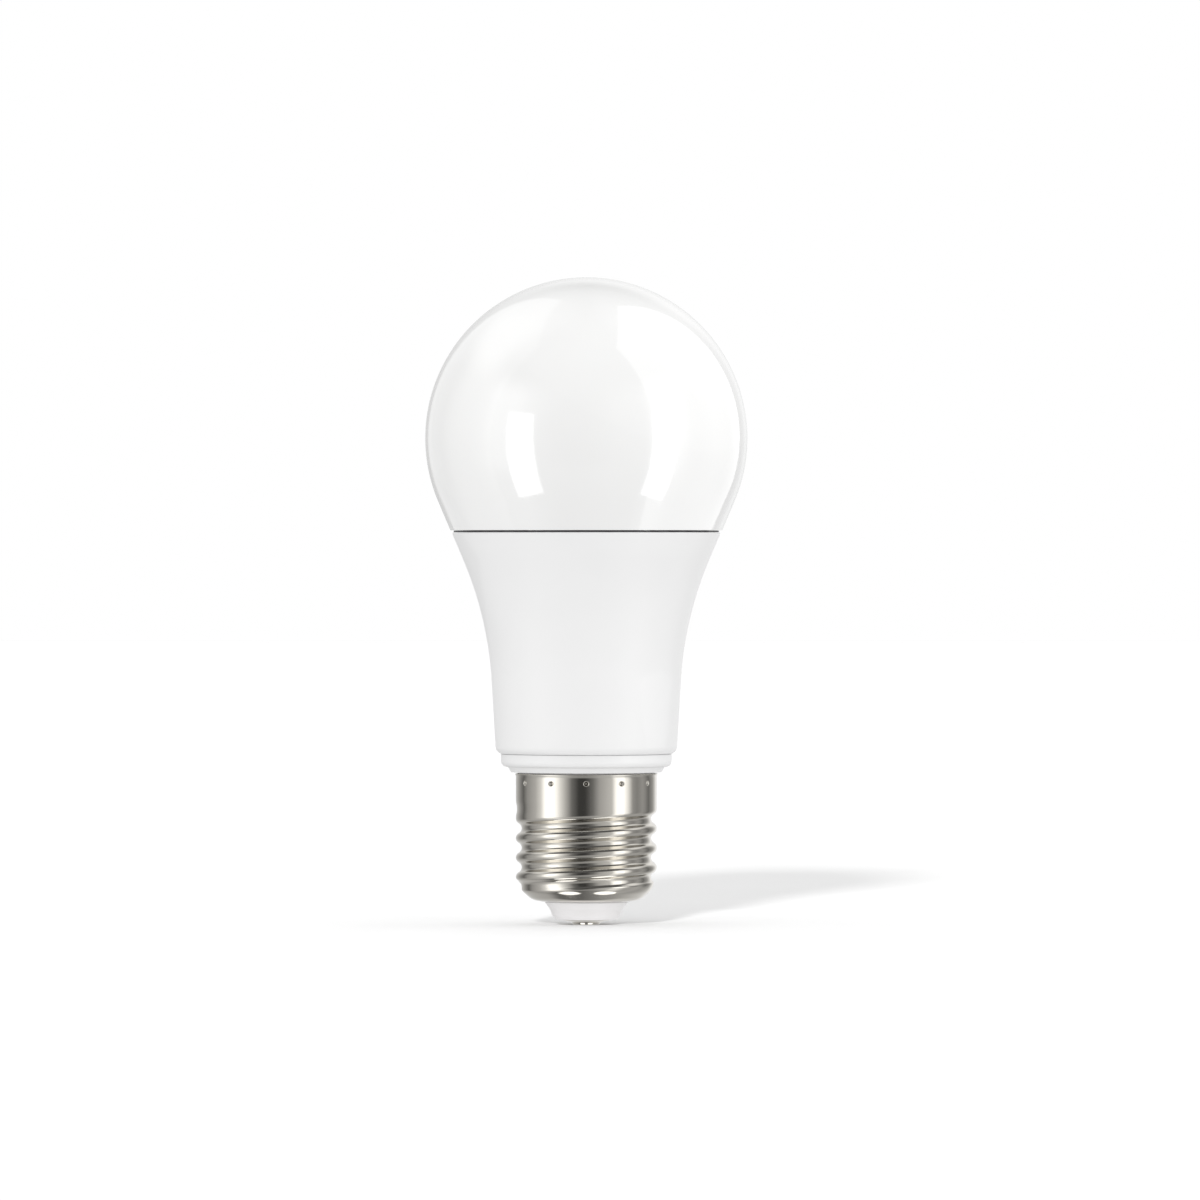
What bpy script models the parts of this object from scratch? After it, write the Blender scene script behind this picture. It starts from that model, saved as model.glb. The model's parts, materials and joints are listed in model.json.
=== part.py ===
"""Smart LED bulb with a 60 mm globe and an E27 screw cap, as the separate pieces it is assembled from.

Run with: blender --background --python part.py
Sizes and places are in millimetres, and the helpers turn them into metres.
The origin is the middle of the centre contact's flat tip. +Z runs up the bulb's axis, and -Y is the front.
"""

import math

import bmesh
import bpy
from mathutils import Matrix, Vector

MM = 0.001
SIDES = 32  # flats round a large turned piece
MEDIUM_SIDES = 20
SMALL_SIDES = 12  # flats round a small turned piece
CHORD_ERROR = 0.2  # how far an arc's straight steps may leave the arc
MERGE = 1e-5  # metres
SMOOTH_ANGLE = math.radians(35)

# Driving dimensions of the outside
OVERALL_HEIGHT = 120.5
GLOBE_RADIUS = 30.0
SEAM_Z = 73.2
SEAM_GAP = 0.35
FLARE = math.radians(23.0)  # slope of the wall on both sides of the seam, from the axis
DRAFT = math.radians(3.4)  # slope of the housing's lower wall
NECK_ARC_RADIUS = 68.0  # between those two slopes
HOUSING_TOP_RADIUS = 25.08
FOOT_RADIUS = 16.95
FOOT_Z = 34.0
NECK_RADIUS = 11.45  # the housing's tube inside the screw shell
NECK_BORE_RADIUS = 10.2
NECK_BOTTOM_Z = 8.3

# E27 thread: arcs of one radius, alternately crest and root
THREAD_MAJOR = 13.13
THREAD_MINOR = 12.05
THREAD_PITCH = 3.629
THREAD_ARC = 1.025
THREAD_ROWS = 5  # rows of points in one pitch
TOP_CREST_Z = 17.88  # height of the last full crest, at +X
BOTTOM_CREST_Z = TOP_CREST_Z - 3.5 * THREAD_PITCH
TOP_RUN_OUT = (0.1, 0.6)  # turns over which the thread fades into the skirt
BOTTOM_RUN_OUT = (0.0, 0.5)  # and turns over which its lower end fades
SHELL_TOP_Z = 28.05
SHELL_WALL = 0.3
SHELL_OPENING_RADIUS = 7.95
SHOULDER_Z = 5.3  # where the rounded shoulder takes over from the thread's rows
CRIMPS = 12
CRIMP_Z = 26.4

# Walls and the gaps between pieces that touch
GLOBE_WALL = 1.3
HOUSING_WALL = 1.6
HEATSINK_WALL = 1.0
HEATSINK_GAP = 0.25
SPIGOT_RADIUS = 23.0
SPIGOT_BORE_RADIUS = 21.9

# Heights of the light engine's stack
DECK_TOP_Z = 69.2
DECK_THICKNESS = 1.5
PAD_THICKNESS = 0.5
STACK_GAP = 0.05
LED_BOARD_THICKNESS = 1.0
LED_BOARD_RADIUS = 20.6
LED_BOARD_BOTTOM_Z = DECK_TOP_Z + PAD_THICKNESS + 2 * STACK_GAP
LED_BOARD_TOP_Z = LED_BOARD_BOTTOM_Z + LED_BOARD_THICKNESS
WHITE_LEDS = 9
WHITE_LED_RING = 16.0
RGB_LED_RING = 10.5
RGB_LED_ANGLES = (90, 195, 270, 345)
BOARD_SCREW_RING = 18.0
BOARD_SCREW_ANGLES = (0, 120, 240)

# Driver board: it stands upright behind the axis, and its parts face the front
BOARD_Y = 4.0
DRIVER_THICKNESS = 1.2
DRIVER_TOP_Z = 61.5
DRIVER_WAIST_Z = 33.5
DRIVER_BOTTOM_Z = 10.0
DRIVER_HALF_WIDTH = 12.0
DRIVER_TAIL_HALF_WIDTH = 7.5
PIN_RADIUS = 0.3
PIN_HOLE_RADIUS = 0.55
LEAD_HOLE_RADIUS = 0.75
PIN_STUB = 0.8  # how far a pin stands out on the solder side
SOLDER_GAP = 0.1

# Where leaded parts go through the driver board: x across it, z up it
DRIVER_PINS = {
    "film_capacitor": ((-9.0, 37.5), (-2.0, 37.5)),
    "varistor": ((7.2, 35.6), (7.2, 40.6)),
    "filter_choke": ((3.8, 49.5), (9.2, 49.5)),
    "transformer": tuple((x, z) for z in (45.8, 54.2) for x in (-8.0, -4.8, -1.6)),
    "output_capacitor": ((4.8, 57.6), (7.2, 57.6)),
    "bulk_capacitor": ((-2.5, 31.0), (2.5, 31.0)),
    "fuse_resistor": ((0.0, 13.4), (0.0, 24.6)),
    "live_lead": ((-2.5, 11.2),),
    "neutral_lead": ((2.0, 11.2),),
}

# Radio board, above the driver board and in line with it
RADIO_X = 3.5
RADIO_WIDTH = 12.0
RADIO_THICKNESS = 0.8
RADIO_BOTTOM_Z = 62.0
RADIO_TOP_Z = 84.5
SHIELD_SIZE = (9.6, 7.4, 1.6)
SHIELD_Z = 75.8
HEADER_PIN = 0.6
HEADER_PITCH = 1.5
LED_HEADER_X = tuple(-10.4 + HEADER_PITCH * i for i in range(5))
RADIO_HEADER_X = tuple(RADIO_X + HEADER_PITCH * (i - 2.5) for i in range(6))


def clear_scene():
    for obj in list(bpy.data.objects):
        bpy.data.objects.remove(obj)


def new_collection(name):
    collection = bpy.data.collections.new(name)
    bpy.context.scene.collection.children.link(collection)
    return collection


def new_empty(name, location=(0, 0, 0), rotation=(0, 0, 0), parent=None):
    """A frame to place pieces in. rotation is in degrees."""
    empty = bpy.data.objects.new(name, None)
    PARTS.objects.link(empty)
    empty.location = Vector(location) * MM
    empty.rotation_euler = [math.radians(angle) for angle in rotation]
    empty.parent = parent
    return empty


def new_material(name, colour, roughness, metallic=0.0):
    material = bpy.data.materials.new(name)
    material.use_nodes = True
    shader = material.node_tree.nodes["Principled BSDF"]
    shader.inputs["Base Color"].default_value = (*colour, 1.0)
    shader.inputs["Roughness"].default_value = roughness
    shader.inputs["Metallic"].default_value = metallic
    material.diffuse_color = (*colour, 1.0)
    return material


def add_object(name, data, material, parent=None):
    obj = bpy.data.objects.new(name, data)
    PARTS.objects.link(obj)
    obj.parent = parent or ROOT
    data.materials.append(material)
    return obj


def add_bmesh(name, bm, material, parent=None):
    mesh = bpy.data.meshes.new(name)
    bm.to_mesh(mesh)
    bm.free()
    return add_object(name, mesh, material, parent)


def place(obj, location=(0, 0, 0), rotation=(0, 0, 0)):
    """Sets an object's place in its parent's frame, in millimetres and degrees."""
    obj.location = Vector(location) * MM
    obj.rotation_euler = [math.radians(angle) for angle in rotation]
    return obj


def freeze(obj):
    """Turns an object's modifiers, or its curve, into a plain mesh shaded smooth up to SMOOTH_ANGLE."""
    bpy.context.view_layer.update()
    graph = bpy.context.evaluated_depsgraph_get()
    mesh = bpy.data.meshes.new_from_object(obj.evaluated_get(graph))
    if obj.type == "CURVE":
        bm = bmesh.new()
        bm.from_mesh(mesh)
        bmesh.ops.remove_doubles(bm, verts=bm.verts, dist=MERGE / 10)
        bm.to_mesh(mesh)
        bm.free()
        solid = bpy.data.objects.new(obj.name + "_solid", mesh)
        PARTS.objects.link(solid)
        solid.parent = obj.parent
        solid.location, solid.rotation_euler = obj.location, obj.rotation_euler
        name = obj.name
        bpy.data.objects.remove(obj)
        solid.name = name
        obj = solid
    else:
        obj.modifiers.clear()
        obj.data = mesh
    mesh.shade_smooth()
    mesh.set_sharp_from_angle(angle=SMOOTH_ANGLE)
    return obj


def combine(obj, other, operation):
    """Adds a Boolean of other, which becomes a hidden helper."""
    PARTS.objects.unlink(other)
    HELPERS.objects.link(other)
    other.hide_render = True
    other.display_type = "WIRE"
    modifier = obj.modifiers.new(operation.lower(), "BOOLEAN")
    modifier.operation = operation
    modifier.object = other
    return obj


def arc_steps(radius, turn):
    widest = 2 * math.acos(max(0.0, 1 - CHORD_ERROR / radius))
    return max(2, math.ceil(abs(turn) / widest))


def arc(centre, radius, start, end):
    """Points on a circle's arc from angle start to angle end, in radians, both ends included."""
    steps = arc_steps(radius, end - start)
    angles = [start + (end - start) * i / steps for i in range(steps + 1)]
    return [(centre[0] + radius * math.cos(a), centre[1] + radius * math.sin(a)) for a in angles]


def rounded(corners, cyclic=False):
    """Points through corners given as (x, y) or (x, y, radius): a corner with a radius becomes an arc."""
    points = []
    for index, corner in enumerate(corners):
        if len(corner) == 2:
            points.append(corner)
            continue
        here, radius = Vector(corner[:2]), corner[2]
        following = (index + 1) % len(corners) if cyclic else index + 1
        back = (Vector(corners[index - 1][:2]) - here).normalized()
        ahead = (Vector(corners[following][:2]) - here).normalized()
        half = back.angle(ahead) / 2
        centre = here + (back + ahead).normalized() * radius / math.sin(half)
        first = here + back * radius / math.tan(half) - centre
        last = here + ahead * radius / math.tan(half) - centre
        start = math.atan2(first.y, first.x)
        sweep = math.atan2(last.y, last.x) - start
        sweep = (sweep + math.pi) % (2 * math.pi) - math.pi
        points += arc(centre, radius, start, start + sweep)
    return points


def turned(name, profile, material, sides=SIDES, parent=None):
    """A solid of revolution about Z. profile holds (radius, z) and runs down the outer side.
    It is closed unless it starts and ends on the axis."""
    closed = profile[0][0] > 0 or profile[-1][0] > 0
    count = len(profile)
    edges = [(i, (i + 1) % count) for i in range(count if closed else count - 1)]
    mesh = bpy.data.meshes.new(name)
    mesh.from_pydata([(r * MM, 0, z * MM) for r, z in profile], edges, [])
    obj = add_object(name, mesh, material, parent)
    add_screw(obj, sides)
    return freeze(obj)


def add_screw(obj, sides):
    screw = obj.modifiers.new("turn", "SCREW")
    screw.steps = screw.render_steps = sides
    screw.use_merge_vertices = True
    screw.merge_threshold = MERGE


def box(name, size, material, bevel=0.0, parent=None):
    bm = bmesh.new()
    bmesh.ops.create_cube(bm, size=1)
    bmesh.ops.scale(bm, vec=Vector(size) * MM, verts=bm.verts)
    obj = add_bmesh(name, bm, material, parent)
    if bevel:
        modifier = obj.modifiers.new("edges", "BEVEL")
        modifier.width = bevel * MM
        modifier.segments = 2
    return obj


def blocks(name, sizes_and_centres, material, parent=None):
    """One object of several loose boxes, for a Boolean."""
    bm = bmesh.new()
    for size, centre in sizes_and_centres:
        made = bmesh.ops.create_cube(bm, size=1)["verts"]
        bmesh.ops.scale(bm, vec=Vector(size) * MM, verts=made)
        bmesh.ops.translate(bm, vec=Vector(centre) * MM, verts=made)
    return add_bmesh(name, bm, material, parent)


def rods(name, feet, bottom, top, radius, material, parent=None, sides=6):
    """One object of several loose upright rods, for a Boolean. feet holds each rod's (x, y)."""
    bm = bmesh.new()
    shape = {"segments": sides, "radius1": radius * MM, "radius2": radius * MM, "depth": (top - bottom) * MM}
    for x, y in feet:
        made = bmesh.ops.create_cone(bm, cap_ends=True, **shape)["verts"]
        bmesh.ops.translate(bm, vec=Vector((x, y, (bottom + top) / 2)) * MM, verts=made)
    return add_bmesh(name, bm, material, parent)


def circle(x, y, radius, sides):
    angles = [2 * math.pi * i / sides for i in range(sides)]
    return [(x + radius * math.cos(a), y + radius * math.sin(a)) for a in angles]


def rectangle(x0, y0, x1, y1, radius=0.0):
    corners = [(x0, y0), (x1, y0), (x1, y1), (x0, y1)]
    return rounded([(*c, radius) for c in corners], cyclic=True) if radius else corners


def strip(points, width):
    """Outline of a flat strip of one width along a path, with mitred corners."""
    points = [Vector(p) for p in points]
    ways = [(b - a).normalized() for a, b in zip(points, points[1:])]
    left, right = [], []
    for point, before, after in zip(points, [ways[0], *ways], [*ways, ways[-1]]):
        aside = Vector((-before.y - after.y, before.x + after.x)) * width / 2 / (1 + before.dot(after))
        left.append(point + aside)
        right.append(point - aside)
    return left + right[::-1]


def plate(name, outlines, thickness, material, parent=None):
    """A flat sheet in its own XY plane. The first outline is its edge and the others are holes."""
    curve = bpy.data.curves.new(name, "CURVE")
    curve.dimensions = "2D"
    curve.fill_mode = "BOTH"
    curve.extrude = thickness / 2 * MM
    for outline in outlines:
        spline = curve.splines.new("POLY")
        spline.points.add(len(outline) - 1)
        for point, (x, y) in zip(spline.points, outline):
            point.co = (x * MM, y * MM, 0, 1)
        spline.use_cyclic_u = True
    return add_object(name, curve, material, parent)


def smooth_route(points, steps=2):
    """A Catmull-Rom curve through points, with steps points for each stretch."""
    knots = [Vector(p) for p in points]
    knots = [2 * knots[0] - knots[1], *knots, 2 * knots[-1] - knots[-2]]
    route = []
    for a, b, c, d in zip(knots, knots[1:], knots[2:], knots[3:]):
        for t in (i / steps for i in range(steps)):
            square, cube = 2 * a - 5 * b + 4 * c - d, 3 * b - a - 3 * c + d
            route.append((2 * b + (c - a) * t + square * t**2 + cube * t**3) / 2)
    return [*route, knots[-2]]


def wire(name, points, radius, material, parent=None):
    curve = bpy.data.curves.new(name, "CURVE")
    curve.dimensions = "3D"
    curve.bevel_depth = radius * MM
    curve.bevel_resolution = 2
    curve.use_fill_caps = True
    spline = curve.splines.new("POLY")
    spline.points.add(len(points) - 1)
    for point, co in zip(spline.points, points):
        point.co = (*(Vector(co) * MM), 1)
    return add_object(name, curve, material, parent)


# ---- Outside ----


def flare_radius(z, inset=0.0):
    """Radius of the straight cone that leaves the globe's sphere at the flare angle."""
    tangent_z = OVERALL_HEIGHT - GLOBE_RADIUS - GLOBE_RADIUS * math.sin(FLARE)
    return GLOBE_RADIUS * math.cos(FLARE) - (tangent_z - z) * math.tan(FLARE) - inset / math.cos(FLARE)


def housing_wall(inset, top_z, bottom_z):
    """Points down the housing's wall moved in by inset: the flare, the neck's arc, then the draft."""
    flare, draft = math.tan(FLARE), math.tan(DRAFT)
    flare_foot = HOUSING_TOP_RADIUS - inset / math.cos(FLARE) - flare * (SEAM_Z - SEAM_GAP / 2)
    draft_foot = FOOT_RADIUS - inset / math.cos(DRAFT) - draft * FOOT_Z
    corner_z = (draft_foot - flare_foot) / (flare - draft)
    wall = rounded(
        [
            (flare_foot + flare * OVERALL_HEIGHT, OVERALL_HEIGHT),
            (flare_foot + flare * corner_z, corner_z, NECK_ARC_RADIUS + inset),
            (draft_foot, 0.0),
        ]
    )
    points = []
    for (r0, z0), (r1, z1) in zip(wall, wall[1:]):
        for z in (top_z, bottom_z):
            if z0 >= z > z1:
                points.append((r0 + (r1 - r0) * (z0 - z) / (z0 - z1), z))
        if top_z > z1 > bottom_z:
            points.append((r1, z1))
    return points


def make_globe():
    """Opal dome. Its rim rests over the housing, and its spigot goes down inside it."""
    centre = (0.0, OVERALL_HEIGHT - GLOBE_RADIUS)
    rim_z = SEAM_Z + SEAM_GAP / 2
    outer = arc(centre, GLOBE_RADIUS, math.pi / 2, 0)[:-1] + arc(centre, GLOBE_RADIUS, 0, -FLARE)
    inner = arc(centre, GLOBE_RADIUS - GLOBE_WALL, -FLARE, math.pi / 2)
    rim = [
        (flare_radius(rim_z), rim_z),
        (SPIGOT_RADIUS, rim_z),
        (SPIGOT_RADIUS, 71.8),
        (SPIGOT_RADIUS - 0.2, 71.6),
        (SPIGOT_BORE_RADIUS, 71.6),
        (SPIGOT_BORE_RADIUS, 74.3),
        (flare_radius(75.4, GLOBE_WALL) - 0.4, 74.8),
        (flare_radius(75.4, GLOBE_WALL), 75.4),
    ]
    profile = [(0.0, outer[0][1]), *outer[1:], *rim, *inner[:-1], (0.0, inner[-1][1])]
    return turned("diffuser_globe", profile, WHITE_OPAL)


def make_housing():
    """White body: a flared wall, stepped collars, and the neck tube that the screw shell is crimped on."""
    top_z = SEAM_Z - SEAM_GAP / 2
    recess_z, recess_radius = 70.9, SPIGOT_RADIUS + 0.3
    outer = housing_wall(0, top_z, 31.7)
    collars = [
        (*outer[-1], 1.5),
        (15.9, 31.7),
        (15.9, 29.35, 1.1),
        (14.6, 29.35),
        (14.0, SHELL_TOP_Z + 0.3),
    ]
    neck = [
        (12.6, SHELL_TOP_Z + 0.3),
        (12.6, CRIMP_Z + 0.95),
        (12.0, CRIMP_Z + 0.75),
        (12.0, CRIMP_Z - 0.75),
        (12.6, CRIMP_Z - 0.95),
        (12.6, 22.9),
        (NECK_RADIUS, 21.7),
        (NECK_RADIUS, NECK_BOTTOM_Z),
        (NECK_BORE_RADIUS, NECK_BOTTOM_Z),
    ]
    floor = [(NECK_BORE_RADIUS, 30.5, 0.8), (14.3, 30.9, 0.8)]
    inside = housing_wall(HOUSING_WALL, recess_z, 33.0)[::-1]
    recess = [(recess_radius, recess_z), (recess_radius, top_z)]
    profile = rounded(outer[:-1] + collars + neck + floor + inside + recess)
    housing = turned("housing_shell", profile, WHITE_HOUSING)
    guides = []
    for across, end_x in ((-1, 10.5), (1, 9.6)):
        guide_y = BOARD_Y + across * (DRIVER_THICKNESS / 2 + 0.25 + 0.45)
        for side in (-1, 1):
            guides.append(((end_x - 6.6, 0.9, 17.0), (side * (end_x + 6.6) / 2, guide_y, 21.0)))
    combine(housing, blocks("board_guides", guides, WHITE_HOUSING), "UNION")
    notch = blocks("lead_notch", [((1.8, 3.0, 12.0), (0, 10.9, 11.0))], WHITE_HOUSING)
    combine(housing, notch, "DIFFERENCE")
    return freeze(housing)


def fade(turns, run_out):
    """0 below run_out, 1 above it, and smooth between."""
    share = min(1.0, max(0.0, (turns - run_out[0]) / (run_out[1] - run_out[0])))
    return share * share * (3 - 2 * share)


def thread_radius(angle, z):
    """The screw shell's outer radius: a right-hand thread that runs out at both ends."""
    turn = angle / (2 * math.pi)
    above_crest = (z - TOP_CREST_Z) / THREAD_PITCH - turn
    from_crest = (above_crest - round(above_crest)) * THREAD_PITCH
    if abs(from_crest) <= THREAD_PITCH / 4:
        height = THREAD_MAJOR - THREAD_ARC + math.sqrt(THREAD_ARC**2 - from_crest**2)
    else:
        from_root = abs(from_crest) - THREAD_PITCH / 2
        height = THREAD_MINOR + THREAD_ARC - math.sqrt(THREAD_ARC**2 - from_root**2)
    height = (height - THREAD_MINOR) / (THREAD_MAJOR - THREAD_MINOR)
    root_turns = math.floor(above_crest) + turn
    crest_turns = round(above_crest) + turn + (TOP_CREST_Z - BOTTOM_CREST_Z) / THREAD_PITCH
    height = 1 - (1 - height) * (1 - fade(root_turns, TOP_RUN_OUT))
    height *= fade(crest_turns, BOTTOM_RUN_OUT)
    return THREAD_MINOR + height * (THREAD_MAJOR - THREAD_MINOR)


def shoulder_profile():
    """Points down the rounded shoulder, which cuts the thread's lower end off."""
    corners = [(13.5, 8.75), (12.6, 8.12), (12.6, 6.75, 3.0), (10.1, 4.6, 3.0)]
    return rounded([*corners, (SHELL_OPENING_RADIUS, 4.2)])


def shoulder_radius(profile, z):
    for (r0, z0), (r1, z1) in zip(profile, profile[1:]):
        if z0 >= z > z1:
            return r0 + (r1 - r0) * (z0 - z) / (z0 - z1)
    return profile[0][0]


def make_screw_shell():
    """Pressed metal cap: skirt, thread and shoulder in one thin sheet, with crimps round its top edge."""
    row = THREAD_PITCH / THREAD_ROWS
    rows = math.ceil((22.0 - SHOULDER_Z) / row)
    skirt = [(THREAD_MAJOR + 0.15, SHELL_TOP_Z), (THREAD_MAJOR, SHELL_TOP_Z - 0.4)]
    thread = [(THREAD_MAJOR, SHOULDER_Z + row * i) for i in range(rows, -1, -1)]
    shoulder = shoulder_profile()
    profile = skirt + thread + [point for point in shoulder if point[1] < SHOULDER_Z - 0.1]
    mesh = bpy.data.meshes.new("screw_shell")
    edges = [(i, i + 1) for i in range(len(profile) - 1)]
    mesh.from_pydata([(r * MM, 0, z * MM) for r, z in profile], edges, [])
    shell = add_object("screw_shell", mesh, NICKEL)
    add_screw(shell, SIDES)
    shell = freeze(shell)
    for vertex in shell.data.vertices:
        x, y, z = vertex.co / MM
        if SHOULDER_Z - MERGE < z < SHELL_TOP_Z - 0.4:
            radius = min(thread_radius(math.atan2(y, x), z), shoulder_radius(shoulder, z))
            vertex.co.xy = vertex.co.xy.normalized() * radius * MM
    solidify = shell.modifiers.new("wall", "SOLIDIFY")
    solidify.thickness = SHELL_WALL * MM
    solidify.offset = -1
    inward = rods("crimp_bumps", [(0, 0)] * CRIMPS, 12.3, 12.98, 0.75, NICKEL)
    outward = rods("crimp_pits", [(0, 0)] * CRIMPS, 12.55, 13.6, 0.45, NICKEL)
    for rod in (inward, outward):
        spread_round_axis(rod, CRIMPS, CRIMP_Z)
    combine(shell, inward, "UNION")
    combine(shell, outward, "DIFFERENCE")
    return freeze(shell)


def spread_round_axis(obj, count, z):
    """Lays count equal rods, which stand upright at the origin, down like spokes at height z."""
    vertices = obj.data.vertices
    each = len(vertices) // count
    for index in range(count):
        turn = Matrix.Rotation(2 * math.pi * index / count, 3, "Z") @ Matrix.Rotation(math.pi / 2, 3, "X")
        for vertex in vertices[index * each : (index + 1) * each]:
            vertex.co = turn @ vertex.co + Vector((0, 0, z * MM))


def make_cap_insulator():
    """White plug in the shell's bottom opening, with a bore for the contact and a recess for its head."""
    corners = [
        (11.4, 8.0),
        (11.4, 6.45),
        (9.7, 5.1),
        (7.7, 4.75),
        (7.7, 4.1),
        (6.75, 2.8, 3.0),
        (6.3, 1.6, 0.9),
        (5.6, 0.95),
        (5.45, 0.95),
        (5.45, 1.6),
        (1.7, 1.6),
        (1.7, 8.0),
    ]
    return turned("cap_insulator", rounded(corners), WHITE_INSULATOR, sides=MEDIUM_SIDES)


def make_centre_contact():
    """Pressed contact: a shallow dish with a flat tip, and a hollow shank that grips the live lead."""
    shank, bore, top_z = 1.4, 0.85, 7.8
    corners = [
        (0.0, 1.0),
        (bore, 1.0),
        (bore, top_z),
        (shank, top_z),
        (shank, 1.4),
        (5.05, 1.4),
        (5.25, 1.2),
        (5.05, 0.9),
        (2.45, 0.4),
        (2.05, 0.0),
        (0.0, 0.0),
    ]
    return turned("centre_contact", corners, NICKEL, sides=MEDIUM_SIDES)


def make_seam_gasket():
    """Dark ring that fills the seam between the globe's rim and the housing."""
    corners = [(24.7, SEAM_Z + 0.125), (24.7, SEAM_Z - 0.125), (23.4, SEAM_Z - 0.125), (23.4, SEAM_Z + 0.125)]
    return turned("seam_gasket", corners, GASKET_GREY)


def make_adhesive_ring():
    """Silicone bead in the housing's groove that holds the globe's spigot."""
    corners = [(22.9, 71.35), (22.9, 71.0), (22.1, 71.0), (22.1, 71.35)]
    return turned("adhesive_ring", corners, SILICONE)


# ---- Light engine ----


def ring_place(radius, degrees):
    angle = math.radians(degrees)
    return radius * math.cos(angle), radius * math.sin(angle)


def make_heatsink():
    """Drawn aluminium cup that lines the housing, upside down, with a flat deck for the LED board."""
    inset = HOUSING_WALL + HEATSINK_GAP
    bottom_z, under_deck = 37.0, DECK_TOP_Z - DECK_THICKNESS
    outer = housing_wall(inset, DECK_TOP_Z - 0.5, bottom_z)
    inner = housing_wall(inset + HEATSINK_WALL, under_deck, bottom_z)[::-1]
    edge = (outer[0][0] - 0.3, DECK_TOP_Z)
    profile = [(0.0, DECK_TOP_Z), edge, *outer, *inner, (0.0, under_deck)]
    cup = turned("heatsink_cup", profile, ALUMINIUM)
    slots = [
        ((14.0, 2.4, 4.0), (RADIO_X, BOARD_Y, under_deck)),
        ((7.6, 2.4, 4.0), (sum(LED_HEADER_X) / 5, led_header_y(), under_deck)),
    ]
    combine(cup, blocks("deck_slots", slots, ALUMINIUM), "DIFFERENCE")
    feet = [ring_place(BOARD_SCREW_RING, a) for a in BOARD_SCREW_ANGLES]
    holes = rods("deck_holes", feet, under_deck - 2, DECK_TOP_Z + 1, 1.4, ALUMINIUM, sides=12)
    combine(cup, holes, "DIFFERENCE")
    return freeze(cup)


def led_header_y():
    return BOARD_Y - DRIVER_THICKNESS / 2 - SOLDER_GAP - HEADER_PIN / 2


def board_openings(slot_margin, screw_hole_radius):
    """Outlines of the openings that the pad and the LED board share."""
    half_width, half_depth = RADIO_WIDTH / 2 + slot_margin, RADIO_THICKNESS / 2 + slot_margin
    slot = rectangle(RADIO_X - half_width, BOARD_Y - half_depth, RADIO_X + half_width, BOARD_Y + half_depth)
    holes = [circle(*ring_place(BOARD_SCREW_RING, a), screw_hole_radius, 12) for a in BOARD_SCREW_ANGLES]
    return [slot, *holes]


def make_thermal_pad():
    header_y = led_header_y()
    header_slot = rectangle(LED_HEADER_X[0] - 0.8, header_y - 0.9, LED_HEADER_X[-1] + 0.6, header_y + 0.9)
    outlines = [circle(0, 0, LED_BOARD_RADIUS - 0.4, SIDES), *board_openings(0.6, 1.7), header_slot]
    pad = plate("thermal_pad", outlines, PAD_THICKNESS, PAD_GREY)
    return place(pad, (0, 0, DECK_TOP_Z + STACK_GAP + PAD_THICKNESS / 2))


def make_led_board():
    pin_holes = [circle(x, led_header_y(), 0.55, 8) for x in LED_HEADER_X]
    outlines = [circle(0, 0, LED_BOARD_RADIUS, SIDES), *board_openings(0.5, 1.5), *pin_holes]
    board = plate("led_board", outlines, LED_BOARD_THICKNESS, WHITE_MASK)
    return place(board, (0, 0, LED_BOARD_BOTTOM_Z + LED_BOARD_THICKNESS / 2))


def make_white_led(index):
    """2835 package: a low box with a sunken phosphor window."""
    bm = bmesh.new()
    bmesh.ops.create_cube(bm, size=1)
    bmesh.ops.scale(bm, vec=Vector((3.5, 2.8, 0.7)) * MM, verts=bm.verts)
    top = max(bm.faces, key=lambda face: face.calc_center_median().z)
    bmesh.ops.inset_individual(bm, faces=[top], thickness=0.35 * MM, depth=0)
    bmesh.ops.translate(bm, vec=(0, 0, -0.15 * MM), verts=top.verts)
    led = add_bmesh(f"white_led_{index + 1}", bm, LED_YELLOW)
    degrees = 20 + 360 / WHITE_LEDS * index
    height = LED_BOARD_TOP_Z + STACK_GAP + 0.35
    place(led, (*ring_place(WHITE_LED_RING, degrees), height), (0, 0, degrees + 90))
    return led


def make_rgb_led(index):
    """5050 package: a square body with a round well for three dies."""
    led = box(f"rgb_led_{index + 1}", (5.0, 5.0, 1.5), LED_WHITE)
    well = rods(f"rgb_well_{index + 1}", [(0, 0)], 0.35, 1.5, 2.1, LED_WHITE, sides=16)
    degrees = RGB_LED_ANGLES[index]
    for piece in (led, well):
        place(piece, (*ring_place(RGB_LED_RING, degrees), LED_BOARD_TOP_Z + STACK_GAP + 0.75))
    return combine(led, well, "DIFFERENCE")


def make_board_screw(index):
    """Pan-head screw with a cross recess."""
    head = [(0.0, 1.3), (2.1, 1.3, 0.5), (2.1, 0.0)]
    shank = [(1.15, 0.0), (1.15, -4.6), (0.7, -5.4), (0.0, -5.4)]
    profile = rounded(head + shank)
    screw = turned(f"board_screw_{index + 1}", profile, STEEL, sides=SMALL_SIDES)
    long, short = 1.2, 0.25
    corner = [(long, -short), (long, short), (short, short)]
    turns = ((1, 0), (0, 1), (-1, 0), (0, -1))
    outline = [(x * c - y * s, x * s + y * c) for c, s in turns for x, y in corner]
    cross = plate(f"cross_recess_{index + 1}", [outline], 1.4, STEEL)
    x, y = ring_place(BOARD_SCREW_RING, BOARD_SCREW_ANGLES[index])
    seat_z = LED_BOARD_TOP_Z + STACK_GAP
    place(screw, (x, y, seat_z))
    place(cross, (x, y, seat_z + 1.3), (0, 0, 10))
    return freeze(combine(screw, freeze(cross), "DIFFERENCE"))


# ---- Radio ----


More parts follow.
